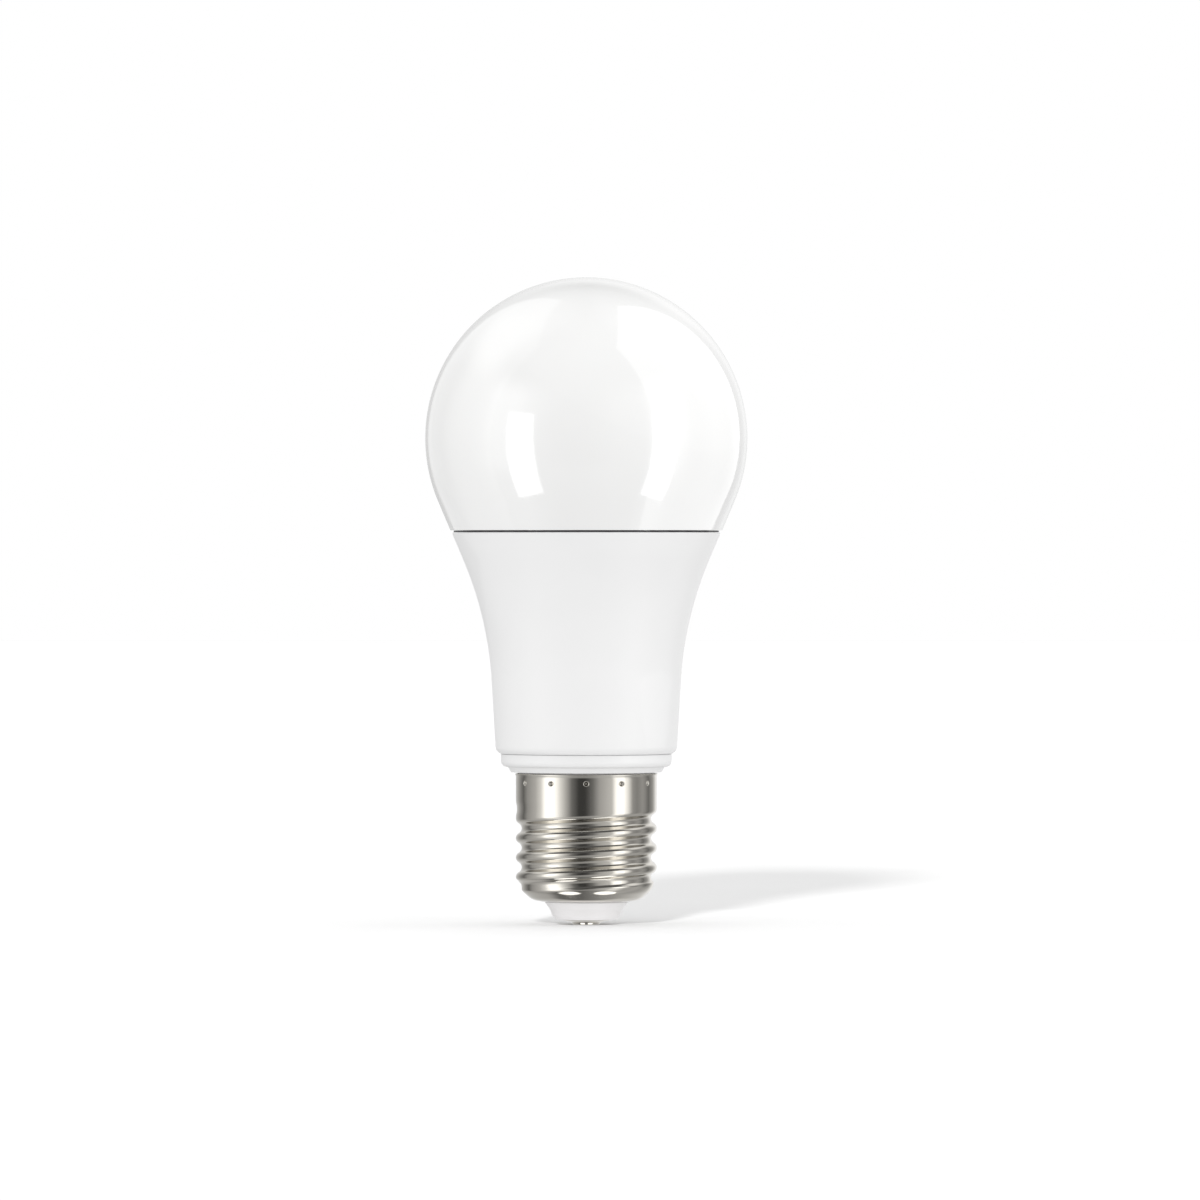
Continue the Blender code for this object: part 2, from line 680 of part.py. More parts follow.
def header(name, pin_xs, pin_y, pin_z, bar_y, bar_z, material):
    """A row of square pins in a plastic bar. pin_z and bar_z are (bottom, top), bar_y is (front, back)."""
    length = pin_xs[-1] - pin_xs[0] + HEADER_PITCH
    bar = box(name, (length, bar_y[1] - bar_y[0], bar_z[1] - bar_z[0]), material, bevel=0.15)
    place(bar, (sum(pin_xs) / len(pin_xs), sum(bar_y) / 2, sum(bar_z) / 2))
    size = (HEADER_PIN, HEADER_PIN, pin_z[1] - pin_z[0])
    pins = blocks(name + "_pins", [(size, (x, pin_y, sum(pin_z) / 2)) for x in pin_xs], material)
    return freeze(combine(bar, pins, "UNION"))


def make_radio():
    """Radio board on end through the LED board, so that its antenna stands clear of the aluminium."""
    half, height = RADIO_WIDTH / 2, RADIO_TOP_Z - RADIO_BOTTOM_Z
    outline = rectangle(-half, -height / 2, half, height / 2, radius=0.6)
    board = plate("radio_board", [outline], RADIO_THICKNESS, RADIO_MASK)
    place(board, (RADIO_X, BOARD_Y, (RADIO_BOTTOM_Z + RADIO_TOP_Z) / 2), (90, 0, 0))
    face_y = BOARD_Y - RADIO_THICKNESS / 2 - STACK_GAP
    face = new_empty("radio_face", (RADIO_X, face_y, 0), (90, 0, 0), ROOT)

    bm = bmesh.new()
    bmesh.ops.create_cube(bm, size=1)
    bmesh.ops.scale(bm, vec=Vector(SHIELD_SIZE) * MM, verts=bm.verts)
    under = min(bm.faces, key=lambda side: side.calc_center_median().z)
    bmesh.ops.delete(bm, geom=[under], context="FACES_ONLY")
    shield = add_bmesh("radio_shield", bm, SHIELD_TIN, face)
    place(shield, (0, SHIELD_Z, SHIELD_SIZE[2] / 2))
    wall = shield.modifiers.new("wall", "SOLIDIFY")
    wall.thickness = 0.2 * MM
    wall.offset = -1
    wall.use_even_offset = True
    chip = box("radio_chip", (5.0, 5.0, 0.85), CHIP_BLACK, bevel=0.1, parent=face)
    place(chip, (0, SHIELD_Z, 0.85 / 2))

    antenna = plate("antenna_trace", [antenna_outline()], 0.1, COPPER, face)
    place(antenna, (0, 80.1, 0.05))
    header(
        "radio_pin_header",
        RADIO_HEADER_X,
        BOARD_Y + DRIVER_THICKNESS / 2 + SOLDER_GAP + HEADER_PIN / 2,
        (58.9, 65.4),
        (4.75, 6.9),
        (61.0, 63.0),
        CHIP_BLACK,
    )


def antenna_outline():
    """Folded copper strip: fingers that run up and down, joined at alternate ends."""
    pitch, fingers, tall = 1.3, 8, 3.0
    path = [(-pitch * (fingers - 1) / 2, -0.45)]
    for index in range(fingers):
        x = pitch * (index - (fingers - 1) / 2)
        ends = [(x, 0.0), (x, tall)]
        path += ends if index % 2 == 0 else ends[::-1]
    del path[1]
    return strip(path, 0.7)


# ---- Driver ----


def make_driver_board():
    tail, half = DRIVER_TAIL_HALF_WIDTH, DRIVER_HALF_WIDTH
    corners = [
        (-tail, DRIVER_BOTTOM_Z, 1.0),
        (tail, DRIVER_BOTTOM_Z, 1.0),
        (tail, DRIVER_WAIST_Z),
        (half, DRIVER_WAIST_Z, 1.0),
        (half, DRIVER_TOP_Z, 1.0),
        (-half, DRIVER_TOP_Z, 1.0),
        (-half, DRIVER_WAIST_Z, 1.0),
        (-tail, DRIVER_WAIST_Z),
    ]
    holes = []
    for part, pins in DRIVER_PINS.items():
        radius = LEAD_HOLE_RADIUS if part.endswith("_lead") else PIN_HOLE_RADIUS
        holes += [circle(*pin, radius, 6) for pin in pins]
    board = plate("driver_board", [rounded(corners, cyclic=True), *holes], DRIVER_THICKNESS, BOARD_GREEN)
    return place(board, (0, BOARD_Y, 0), (90, 0, 0))


def add_pins(obj, part, x, z, top):
    """Joins a part's pins to it. x and z are its place on the board, and the pins start at height top."""
    bottom = -(DRIVER_THICKNESS + PIN_STUB)
    feet = [(px - x, pz - z) for px, pz in DRIVER_PINS[part]]
    pins = rods(obj.name + "_pins", feet, bottom, top, PIN_RADIUS, STEEL, parent=obj.parent)
    place(pins, (x, z, 0))
    return combine(obj, pins, "UNION")


def make_film_capacitor():
    x, z = -5.5, 37.5
    body = box("film_capacitor", (10.0, 4.6, 8.6), EPOXY_RED, bevel=1.2, parent=FRONT)
    place(body, (x, z, 0.3 + 8.6 / 2))
    return freeze(add_pins(body, "film_capacitor", x, z, 2.0))


def make_varistor():
    x, z = 7.2, 38.1
    corners = [(0.0, 1.7), (3.6, 1.7, 1.2), (3.6, -1.7, 1.2), (0.0, -1.7)]
    disc = turned("varistor", rounded(corners), VARISTOR_BLUE, sides=16, parent=FRONT)
    place(disc, (x, z, 4.5), (0, 90, 0))
    return freeze(add_pins(disc, "varistor", x, z, 3.0))


def make_filter_choke():
    x, z = 6.5, 49.5
    drum = [(0.0, 9.2), (4.0, 9.2), (4.0, 8.0), (1.7, 8.0), (1.7, 1.6), (4.0, 1.6), (4.0, 0.4), (0.0, 0.4)]
    core = turned("filter_choke_core", drum, FERRITE, sides=16, parent=FRONT)
    place(core, (x, z, 0))
    freeze(add_pins(core, "filter_choke", x, z, 1.0))
    coil = turned(
        "filter_choke_winding",
        [(3.6, 7.85), (3.6, 1.75), (1.85, 1.75), (1.85, 7.85)],
        COPPER,
        sides=16,
        parent=FRONT,
    )
    place(coil, (x, z, 0))


def rounded_tube(name, outer, inner, depth, material, parent):
    """A rounded rectangular tube. outer and inner are (half width, half height, corner radius)."""
    outlines = [rectangle(-w, -h, w, h, r) for w, h, r in (outer, inner)]
    return plate(name, outlines, depth, material, parent)


def make_transformer():
    """E-core transformer: its middle leg points at the board, and its bobbin has the winding and pins."""
    x, z, middle = -4.8, 50.0, 6.2
    frame = new_empty("transformer_frame", (x, z, middle), parent=FRONT)
    core = box("transformer_core", (12.0, 4.8, 10.0), FERRITE, parent=frame)
    windows = [((2.6, 6.0, 7.2), (side * 2.95, 0, 0)) for side in (-1, 1)]
    combine(core, blocks("core_windows", windows, FERRITE, parent=frame), "DIFFERENCE")
    freeze(core)

    bore = (1.8, 2.6, 0.0)
    spool = freeze(rounded_tube("transformer_bobbin", (2.1, 2.95, 0.0), bore, 7.0, BOBBIN_BLACK, frame))
    for end, height in (("lower", -3.2), ("upper", 3.2)):
        flange = rounded_tube(f"bobbin_{end}_flange", (4.0, 5.6, 0.0), bore, 0.6, BOBBIN_BLACK, frame)
        combine(spool, freeze(place(flange, (0, 0, height))), "UNION")
    feet = [((8.0, 2.4, 2.9), (0, side * 4.2, -4.55)) for side in (-1, 1)]
    combine(spool, blocks("bobbin_feet", feet, BOBBIN_BLACK, parent=frame), "UNION")
    bottom = -(DRIVER_THICKNESS + PIN_STUB) - middle
    pin_feet = [(px - x, pz - z) for px, pz in DRIVER_PINS["transformer"]]
    pins = rods("bobbin_pins", pin_feet, bottom, -4.5, PIN_RADIUS, STEEL, parent=frame)
    freeze(combine(spool, pins, "UNION"))
    rounded_tube("transformer_winding", (3.8, 5.2, 1.2), (2.2, 3.05, 0.0), 5.6, TAPE_YELLOW, frame)


def can_profile(radius, length, groove):
    """Electrolytic can along its axis: a flat end, a rolled groove near the seal, and the seal's end."""
    return rounded(
        [
            (0.0, length),
            (radius, length, 0.5),
            (radius, groove + 0.6),
            (radius - 0.5, groove),
            (radius, groove - 0.6),
            (radius, 0.0, 0.4),
            (0.0, 0.0),
        ]
    )


def make_output_capacitor():
    x, z = 6.0, 57.6
    can = turned("output_capacitor", can_profile(3.15, 11.0, 1.6), SLEEVE_BLACK, sides=16, parent=FRONT)
    place(can, (x, z, 0.3))
    return freeze(add_pins(can, "output_capacitor", x, z, 1.0))


def make_bulk_capacitor():
    """High-voltage electrolytic in the cap beside the board's tail, its leads bent back to the board."""
    height, top_z, length = 6.1, 28.6, 16.0
    profile = can_profile(5.0, length, 1.8)
    can = turned("bulk_capacitor", profile, SLEEVE_BLUE, sides=MEDIUM_SIDES, parent=FRONT)
    place(can, (0, top_z, height), (90, 0, 0))
    for index, (x, z) in enumerate(DRIVER_PINS["bulk_capacitor"]):
        bend = [(x, top_z - 1.0, height), (x, z - 0.6, height), (x, z, height - 0.6)]
        bend.append((x, z, -(DRIVER_THICKNESS + PIN_STUB)))
        lead = wire(f"bulk_lead_{index + 1}", bend, PIN_RADIUS, STEEL, FRONT)
        combine(can, freeze(lead), "UNION")
    return freeze(can)


def make_fuse_resistor():
    """Axial fusible resistor on the solder side, across the mains input."""
    height = 2.1
    (x, low_z), (_, high_z) = DRIVER_PINS["fuse_resistor"]
    half = 4.0
    corners = [(0.0, half), (1.6, half, 0.6), (1.6, half - 2.0), (1.35, half - 2.5)]
    mirrored = [(corner[0], -corner[1], *corner[2:]) for corner in corners[::-1]]
    profile = rounded(corners + mirrored)
    body = turned("fuse_resistor", profile, RESISTOR_GREEN, sides=SMALL_SIDES, parent=BACK)
    place(body, (x, (low_z + high_z) / 2, height), (90, 0, 0))
    foot = -(DRIVER_THICKNESS + PIN_STUB)
    staple = [(x, low_z, foot), (x, low_z, height - 0.6), (x, low_z + 0.6, height)]
    staple += [(x, high_z - 0.6, height), (x, high_z, height - 0.6), (x, high_z, foot)]
    combine(body, freeze(wire("fuse_staple", staple, PIN_RADIUS, STEEL, BACK)), "UNION")
    return freeze(body)


def gull_wing_chip(name, size, pairs, pitch, x, z, turn=0):
    """A moulded chip on the solder side with bent legs. size is (along the legs' row, across, tall)."""
    length, width, height = size
    body = box(name, size, CHIP_BLACK, bevel=0.12, parent=BACK)
    place(body, (-x, z, SOLDER_GAP + 0.1 + height / 2), (0, 0, turn))
    reach, knee, thick = width / 2 + 1.0, width / 2 + 0.45, 0.2
    half = [(knee, height * 0.5), (knee, thick / 2), (reach, thick / 2)]
    leg = strip([(-px, py) for px, py in half[::-1]] + half, thick)
    for index in range(pairs):
        strap = plate(f"{name}_leg_{index + 1}", [leg], 0.4, STEEL, BACK)
        along = (index - (pairs - 1) / 2) * pitch
        offset = Vector((along, 0, 0))
        offset.rotate(Matrix.Rotation(math.radians(turn), 3, "Z"))
        place(strap, (-x + offset.x, z + offset.y, SOLDER_GAP), (90, 0, turn + 90))
        combine(body, freeze(strap), "UNION")
    return freeze(body)


def chip_part(name, size, x, z, material, turn=0, cap=0.4):
    """A small two-ended surface-mount part: a body between two slightly larger metal ends."""
    length, width, height = size
    body = box(name, (length - 0.1, width - 0.1, height - 0.06), material, parent=BACK)
    ends = [((cap, width, height), (side * (length - cap) / 2, 0, 0)) for side in (-1, 1)]
    caps = blocks(name + "_ends", ends, STEEL, parent=BACK)
    for piece in (body, caps):
        place(piece, (-x, z, SOLDER_GAP + height / 2), (0, 0, turn))
    return freeze(combine(body, caps, "UNION"))


def make_surface_mount_parts():
    gull_wing_chip("bridge_rectifier", (4.7, 3.9, 2.3), 2, 2.5, 2.4, 37.0)
    gull_wing_chip("driver_ic", (4.9, 3.9, 1.5), 4, 1.27, -4.8, 50.0)
    gull_wing_chip("led_channel_ic", (4.9, 3.9, 1.5), 5, 1.0, 6.3, 45.0)
    gull_wing_chip("logic_regulator", (2.9, 1.6, 1.1), 2, 1.9, 0.9, 43.4)
    chip_part("freewheel_diode", (4.6, 2.6, 2.0), -5.2, 41.4, CHIP_BLACK, cap=0.8)
    for index, (x, z) in enumerate(((1.2, 48.0), (1.2, 50.2), (1.2, 52.4))):
        chip_part(f"chip_resistor_{index + 1}", (2.0, 1.25, 0.55), x, z, CHIP_BLACK)
    for index, (x, z) in enumerate(((-9.6, 41.6), (9.6, 53.6), (3.4, 53.6))):
        chip_part(f"chip_capacitor_{index + 1}", (2.0, 1.25, 1.0), x, z, CERAMIC_TAN, turn=90)


def make_leads():
    """Insulated wires: live into the contact's shank, and neutral out through the neck's notch."""
    radius, back = 0.45, BOARD_Y + DRIVER_THICKNESS / 2 + PIN_STUB
    ((x, z),) = DRIVER_PINS["live_lead"]
    live = [(x, back, z), (x, 3.2, z), (x + 0.1, 2.3, z - 0.3), (x + 0.9, 1.2, z - 1.1)]
    live += [(-0.5, 0.2, 9.3), (0, 0, 8.2)]
    wire("live_lead", smooth_route([*live, (0, 0, 5.0), (0, 0, 1.6)]), radius, LEAD_RED)
    ((x, z),) = DRIVER_PINS["neutral_lead"]
    front = BOARD_Y - DRIVER_THICKNESS / 2 - 0.5
    neutral = [(x, front, z), (x, 5.6, z), (x - 0.3, 7.0, z - 0.7), (0.6, 9.0, 9.7)]
    neutral += [(0, 10.3, 9.9), (0, 10.85, 11.0), (0, 10.85, 13.0), (0, 10.85, 15.8)]
    wire("neutral_lead", smooth_route(neutral), radius, LEAD_BLACK)


clear_scene()
PARTS = new_collection("smart_bulb")
HELPERS = new_collection("smart_bulb_cutters")
HELPERS.hide_render = True

WHITE_OPAL = new_material("opal_polycarbonate", (0.93, 0.93, 0.92), 0.16)
WHITE_HOUSING = new_material("white_housing_plastic", (0.91, 0.91, 0.91), 0.38)
WHITE_INSULATOR = new_material("white_cap_insulator", (0.88, 0.87, 0.86), 0.35)
NICKEL = new_material("nickel_plate", (0.74, 0.72, 0.68), 0.16, 1.0)
GASKET_GREY = new_material("dark_gasket", (0.05, 0.05, 0.055), 0.70)
SILICONE = new_material("clear_silicone", (0.80, 0.80, 0.78), 0.45)
ALUMINIUM = new_material("drawn_aluminium", (0.78, 0.79, 0.80), 0.35, 1.0)
PAD_GREY = new_material("thermal_pad_grey", (0.42, 0.45, 0.50), 0.80)
WHITE_MASK = new_material("white_solder_mask", (0.90, 0.90, 0.88), 0.40)
LED_YELLOW = new_material("led_phosphor", (0.90, 0.75, 0.20), 0.45)
LED_WHITE = new_material("led_package", (0.88, 0.88, 0.85), 0.45)
STEEL = new_material("zinc_plated_steel", (0.62, 0.62, 0.60), 0.30, 1.0)
RADIO_MASK = new_material("black_solder_mask", (0.03, 0.03, 0.035), 0.40)
SHIELD_TIN = new_material("tinned_shield", (0.70, 0.70, 0.68), 0.30, 1.0)
COPPER = new_material("enamelled_copper", (0.72, 0.36, 0.16), 0.35, 1.0)
CHIP_BLACK = new_material("chip_epoxy", (0.035, 0.035, 0.035), 0.55)
BOARD_GREEN = new_material("green_solder_mask", (0.04, 0.20, 0.09), 0.40)
EPOXY_RED = new_material("capacitor_epoxy", (0.45, 0.13, 0.05), 0.35)
VARISTOR_BLUE = new_material("varistor_epoxy", (0.04, 0.14, 0.42), 0.40)
FERRITE = new_material("ferrite", (0.10, 0.10, 0.11), 0.70)
BOBBIN_BLACK = new_material("bobbin_phenolic", (0.04, 0.04, 0.04), 0.60)
TAPE_YELLOW = new_material("winding_tape", (0.85, 0.62, 0.08), 0.45)
SLEEVE_BLACK = new_material("capacitor_sleeve_black", (0.03, 0.03, 0.04), 0.30)
SLEEVE_BLUE = new_material("capacitor_sleeve_blue", (0.03, 0.06, 0.20), 0.30)
RESISTOR_GREEN = new_material("resistor_coating", (0.10, 0.28, 0.16), 0.55)
CERAMIC_TAN = new_material("capacitor_ceramic", (0.55, 0.42, 0.28), 0.50)
LEAD_RED = new_material("red_lead_insulation", (0.55, 0.03, 0.02), 0.45)
LEAD_BLACK = new_material("black_lead_insulation", (0.03, 0.03, 0.03), 0.45)

ROOT = new_empty("smart_bulb_root")
FRONT = new_empty("driver_front", (0, BOARD_Y - DRIVER_THICKNESS / 2, 0), (90, 0, 0), ROOT)
BACK = new_empty("driver_back", (0, BOARD_Y + DRIVER_THICKNESS / 2, 0), (90, 0, 180), ROOT)

make_globe()
make_housing()
make_screw_shell()
make_cap_insulator()
make_centre_contact()

make_seam_gasket()
make_adhesive_ring()
make_heatsink()
make_thermal_pad()
make_led_board()
for number in range(WHITE_LEDS):
    make_white_led(number)
for number in range(len(RGB_LED_ANGLES)):
    make_rgb_led(number)
for number in range(len(BOARD_SCREW_ANGLES)):
    make_board_screw(number)
header("led_pin_header", LED_HEADER_X, led_header_y(), (58.9, 71.5), (1.9, 4.1), (61.8, 63.8), CHIP_BLACK)
make_radio()
make_driver_board()
make_film_capacitor()
make_varistor()
make_filter_choke()
make_transformer()
make_output_capacitor()
make_bulk_capacitor()
make_fuse_resistor()
make_surface_mount_parts()
make_leads()
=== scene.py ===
"""Looks of the smart LED bulb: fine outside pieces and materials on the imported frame, and a pale studio."""

import json
import math

import bmesh
import bpy
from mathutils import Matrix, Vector

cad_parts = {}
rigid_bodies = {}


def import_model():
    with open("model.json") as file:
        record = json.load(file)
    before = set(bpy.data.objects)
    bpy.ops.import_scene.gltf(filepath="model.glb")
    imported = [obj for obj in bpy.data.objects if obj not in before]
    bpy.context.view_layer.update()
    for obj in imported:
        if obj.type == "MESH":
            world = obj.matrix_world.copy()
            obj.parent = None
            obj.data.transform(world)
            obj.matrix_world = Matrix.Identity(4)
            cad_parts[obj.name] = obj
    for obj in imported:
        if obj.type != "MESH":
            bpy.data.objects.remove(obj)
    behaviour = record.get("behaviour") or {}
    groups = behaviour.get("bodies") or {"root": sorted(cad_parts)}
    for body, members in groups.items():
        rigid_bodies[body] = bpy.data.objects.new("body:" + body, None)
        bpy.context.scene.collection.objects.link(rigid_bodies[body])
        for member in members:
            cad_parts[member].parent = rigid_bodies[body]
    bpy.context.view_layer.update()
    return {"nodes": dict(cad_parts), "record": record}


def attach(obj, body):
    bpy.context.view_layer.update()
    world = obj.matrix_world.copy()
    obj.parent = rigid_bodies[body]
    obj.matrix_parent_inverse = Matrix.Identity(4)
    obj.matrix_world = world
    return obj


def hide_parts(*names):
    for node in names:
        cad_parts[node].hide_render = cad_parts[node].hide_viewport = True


for leftover in list(bpy.data.objects):
    bpy.data.objects.remove(leftover)

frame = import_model()
MM = 0.001

# The outside, in millimetres, as in part.py
OVERALL_HEIGHT = 120.5
GLOBE_RADIUS = 30.0
GLOBE_WALL = 1.3
SEAM_Z = 73.2
SEAM_GAP = 0.35
FLARE = math.radians(23.0)
DRAFT = math.radians(3.4)
NECK_ARC_RADIUS = 68.0
HOUSING_TOP_RADIUS = 25.08
HOUSING_WALL = 1.6
FOOT_RADIUS = 16.95
FOOT_Z = 34.0
SPIGOT_RADIUS = 23.0
SPIGOT_BORE_RADIUS = 21.9
SPIGOT_FOOT_Z = 71.6
COLLAR_RADIUS = 15.9
COLLAR_TOP_Z = 31.7
COLLAR_FOOT_Z = 29.35
SHELL_SEAT_RADIUS = 12.6
THREAD_MAJOR = 13.13
THREAD_MINOR = 12.05
THREAD_PITCH = 3.629
THREAD_ARC = 1.025
TOP_CREST_Z = 17.88
BOTTOM_CREST_Z = TOP_CREST_Z - 3.5 * THREAD_PITCH
TOP_RUN_OUT = (0.1, 0.65)  # turns over which the thread fades into the skirt
BOTTOM_RUN_OUT = (0.0, 0.5)  # and turns over which its lower end fades
THREAD_ROW = 0.18
SKIRT_FOOT_Z = 23.6
THREAD_FOOT_Z = 5.2
SHELL_TOP_Z = 28.05
SHELL_WALL = 0.3
SHELL_OPENING_RADIUS = 7.95
CRIMPS = 12
CRIMP_Z = 26.4
CRIMP_RADIUS = 0.48
CRIMP_DEPTH = 0.45
CRIMP_LIP = 0.02
CRIMP_REACH = 0.70  # half the width of the fine mesh round a crimp
CRIMP_STEPS = 20


# ---- Materials ----


def material(name, colour, roughness, metallic=0.0, **settings):
    """A Principled material, its node tree and its shader. settings are constant shader inputs by name."""
    made = bpy.data.materials.new(name)
    made.use_nodes = True
    shader = made.node_tree.nodes["Principled BSDF"]
    shader.inputs["Base Color"].default_value = (*colour, 1.0)
    shader.inputs["Roughness"].default_value = roughness
    shader.inputs["Metallic"].default_value = metallic
    for key, value in settings.items():
        shader.inputs[key.replace("_", " ")].default_value = value
    return made, made.node_tree, shader


def noise(tree, scale, detail=2.0, stretch=(1, 1, 1)):
    """A noise texture in object space. scale is in features a metre."""
    place = tree.nodes.new("ShaderNodeTexCoord")
    mapping = tree.nodes.new("ShaderNodeMapping")
    mapping.inputs["Scale"].default_value = stretch
    texture = tree.nodes.new("ShaderNodeTexNoise")
    texture.inputs["Scale"].default_value = scale
    texture.inputs["Detail"].default_value = detail
    tree.links.new(place.outputs["Object"], mapping.inputs["Vector"])
    tree.links.new(mapping.outputs["Vector"], texture.inputs["Vector"])
    return texture.outputs["Fac"]


def remap(tree, value, low, high):
    """value, which runs about 0.3 to 0.7, spread to run from low to high."""
    node = tree.nodes.new("ShaderNodeMapRange")
    node.inputs["From Min"].default_value = 0.3
    node.inputs["From Max"].default_value = 0.7
    node.inputs["To Min"].default_value = low
    node.inputs["To Max"].default_value = high
    tree.links.new(value, node.inputs["Value"])
    return node.outputs["Result"]


def tint(tree, value, first, second):
    """A colour between first and second by value."""
    ramp = tree.nodes.new("ShaderNodeValToRGB")
    ramp.color_ramp.elements[0].position = 0.3
    ramp.color_ramp.elements[0].color = (*first, 1.0)
    ramp.color_ramp.elements[1].position = 0.7
    ramp.color_ramp.elements[1].color = (*second, 1.0)
    tree.links.new(value, ramp.inputs["Fac"])
    return ramp.outputs["Color"]


def bump(tree, shader, height, distance, strength=1.0):
    node = tree.nodes.new("ShaderNodeBump")
    node.inputs["Distance"].default_value = distance * MM
    node.inputs["Strength"].default_value = strength
    tree.links.new(height, node.inputs["Height"])
    tree.links.new(node.outputs["Normal"], shader.inputs["Normal"])


def shade(colour, share):
    return tuple(channel * share for channel in colour)


def grained(
    name,
    colour,
    roughness,
    metallic=0.0,
    grain=2500,
    depth=0.004,
    variation=0.06,
    stretch=(1, 1, 1),
    **settings,
):
    """A material whose colour, roughness and height vary with a fine grain and a slow drift."""
    made, tree, shader = material(name, colour, roughness, metallic, **settings)
    drift = noise(tree, 90)
    fine = noise(tree, grain, 3, stretch)
    colours = tint(tree, drift, shade(colour, 1 - variation), colour)
    tree.links.new(colours, shader.inputs["Base Color"])
    tree.links.new(remap(tree, fine, roughness * 0.85, roughness * 1.15), shader.inputs["Roughness"])
    bump(tree, shader, fine, depth)
    return made


# ---- Shapes ----


def new_object(name, mesh, surface, node):
    """Links a piece that stands for a CAD node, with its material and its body."""
    mesh.materials.append(surface)
    piece = bpy.data.objects.new(name, mesh)
    bpy.context.scene.collection.objects.link(piece)
    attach(piece, "root")
    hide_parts(node)
    return piece


def arc(centre, radius, start, end, step=0.12):
    """Points on a circle's arc, both ends included, about step millimetres apart."""
    steps = max(6, math.ceil(abs(end - start) * radius / step))
    angles = [start + (end - start) * i / steps for i in range(steps + 1)]
    return [(centre[0] + radius * math.cos(a), centre[1] + radius * math.sin(a)) for a in angles]


def rounded(corners, step=0.12):
    """Points through corners given as (x, y) or (x, y, radius): a corner with a radius becomes an arc."""
    points = []
    for index, corner in enumerate(corners):
        if len(corner) == 2:
            points.append(corner)
            continue
        here, radius = Vector(corner[:2]), corner[2]
        back = (Vector(corners[index - 1][:2]) - here).normalized()
        ahead = (Vector(corners[(index + 1) % len(corners)][:2]) - here).normalized()
        half = back.angle(ahead) / 2
        centre = here + (back + ahead).normalized() * radius / math.sin(half)
        first = here + back * radius / math.tan(half) - centre
        last = here + ahead * radius / math.tan(half) - centre
        start = math.atan2(first.y, first.x)
        sweep = math.atan2(last.y, last.x) - start
        sweep = (sweep + math.pi) % (2 * math.pi) - math.pi
        points += arc(centre, radius, start, start + sweep, step)
    return points


def turned_mesh(name, profile, sides=160):
    """A closed mesh of revolution about Z from (radius, z) points that run down the outer side."""
    bm = bmesh.new()
    rings = []
    for radius, z in profile:
        if radius < 1e-6:
            rings.append([bm.verts.new((0, 0, z * MM))])
            continue
        ring = []
        for index in range(sides):
            angle = 2 * math.pi * index / sides
            ring.append(bm.verts.new((radius * math.cos(angle) * MM, radius * math.sin(angle) * MM, z * MM)))
        rings.append(ring)
    pairs = list(zip(rings, rings[1:]))
    if len(rings[0]) > 1:
        pairs.append((rings[-1], rings[0]))
    for upper, lower in pairs:
        for index in range(sides):
            following = (index + 1) % sides
            loop = [upper[index % len(upper)], lower[index % len(lower)]]
            if len(lower) > 1:
                loop.append(lower[following])
            if len(upper) > 1:
                loop.append(upper[following])
            bm.faces.new(loop)
    return finished_mesh(name, bm)


def finished_mesh(name, bm, smooth_angle=30):
    mesh = bpy.data.meshes.new(name)
    bm.to_mesh(mesh)
    bm.free()
    mesh.shade_smooth()
    mesh.set_sharp_from_angle(angle=math.radians(smooth_angle))
    return mesh


def flare_radius(z, inset=0.0):
    tangent_z = OVERALL_HEIGHT - GLOBE_RADIUS - GLOBE_RADIUS * math.sin(FLARE)
    return GLOBE_RADIUS * math.cos(FLARE) - (tangent_z - z) * math.tan(FLARE) - inset / math.cos(FLARE)


def housing_wall(inset, top_z, bottom_z):
    """Points down the housing's wall moved in by inset: the flare, the neck's arc, then the draft."""
    flare, draft = math.tan(FLARE), math.tan(DRAFT)
    flare_foot = HOUSING_TOP_RADIUS - inset / math.cos(FLARE) - flare * (SEAM_Z - SEAM_GAP / 2)
    draft_foot = FOOT_RADIUS - inset / math.cos(DRAFT) - draft * FOOT_Z
    corner_z = (draft_foot - flare_foot) / (flare - draft)
    wall = rounded(
        [
            (flare_foot + flare * OVERALL_HEIGHT, OVERALL_HEIGHT),
            (flare_foot + flare * corner_z, corner_z, NECK_ARC_RADIUS + inset),
            (draft_foot, 0.0),
        ],
        step=0.8,
    )
    points = []
    for (r0, z0), (r1, z1) in zip(wall, wall[1:]):
        for z in (top_z, bottom_z):
            if z0 >= z > z1:
                points.append((r0 + (r1 - r0) * (z0 - z) / (z0 - z1), z))
        if top_z > z1 > bottom_z:
            points.append((r1, z1))
    return points


def make_globe(surface):
    centre = (0.0, OVERALL_HEIGHT - GLOBE_RADIUS)
    rim_z = SEAM_Z + SEAM_GAP / 2
    outer = arc(centre, GLOBE_RADIUS, math.pi / 2, -FLARE, 0.6)
    inner = arc(centre, GLOBE_RADIUS - GLOBE_WALL, -FLARE, math.pi / 2, 0.8)
    rim = rounded(
        [
            outer[-1],
            (flare_radius(rim_z), rim_z, 0.14),
            (SPIGOT_RADIUS, rim_z),
            (SPIGOT_RADIUS, SPIGOT_FOOT_Z, 0.2),
            (SPIGOT_BORE_RADIUS, SPIGOT_FOOT_Z),
            (SPIGOT_BORE_RADIUS, 74.3),
            (flare_radius(75.4, GLOBE_WALL), 75.4, 0.4),
            inner[0],
        ]
    )
    profile = [(0.0, outer[0][1]), *outer[1:-1], *rim, *inner[1:-1], (0.0, inner[-1][1])]
    mesh = turned_mesh("globe_skin", profile, 192)
    return new_object("globe_skin", mesh, surface, "diffuser_globe")


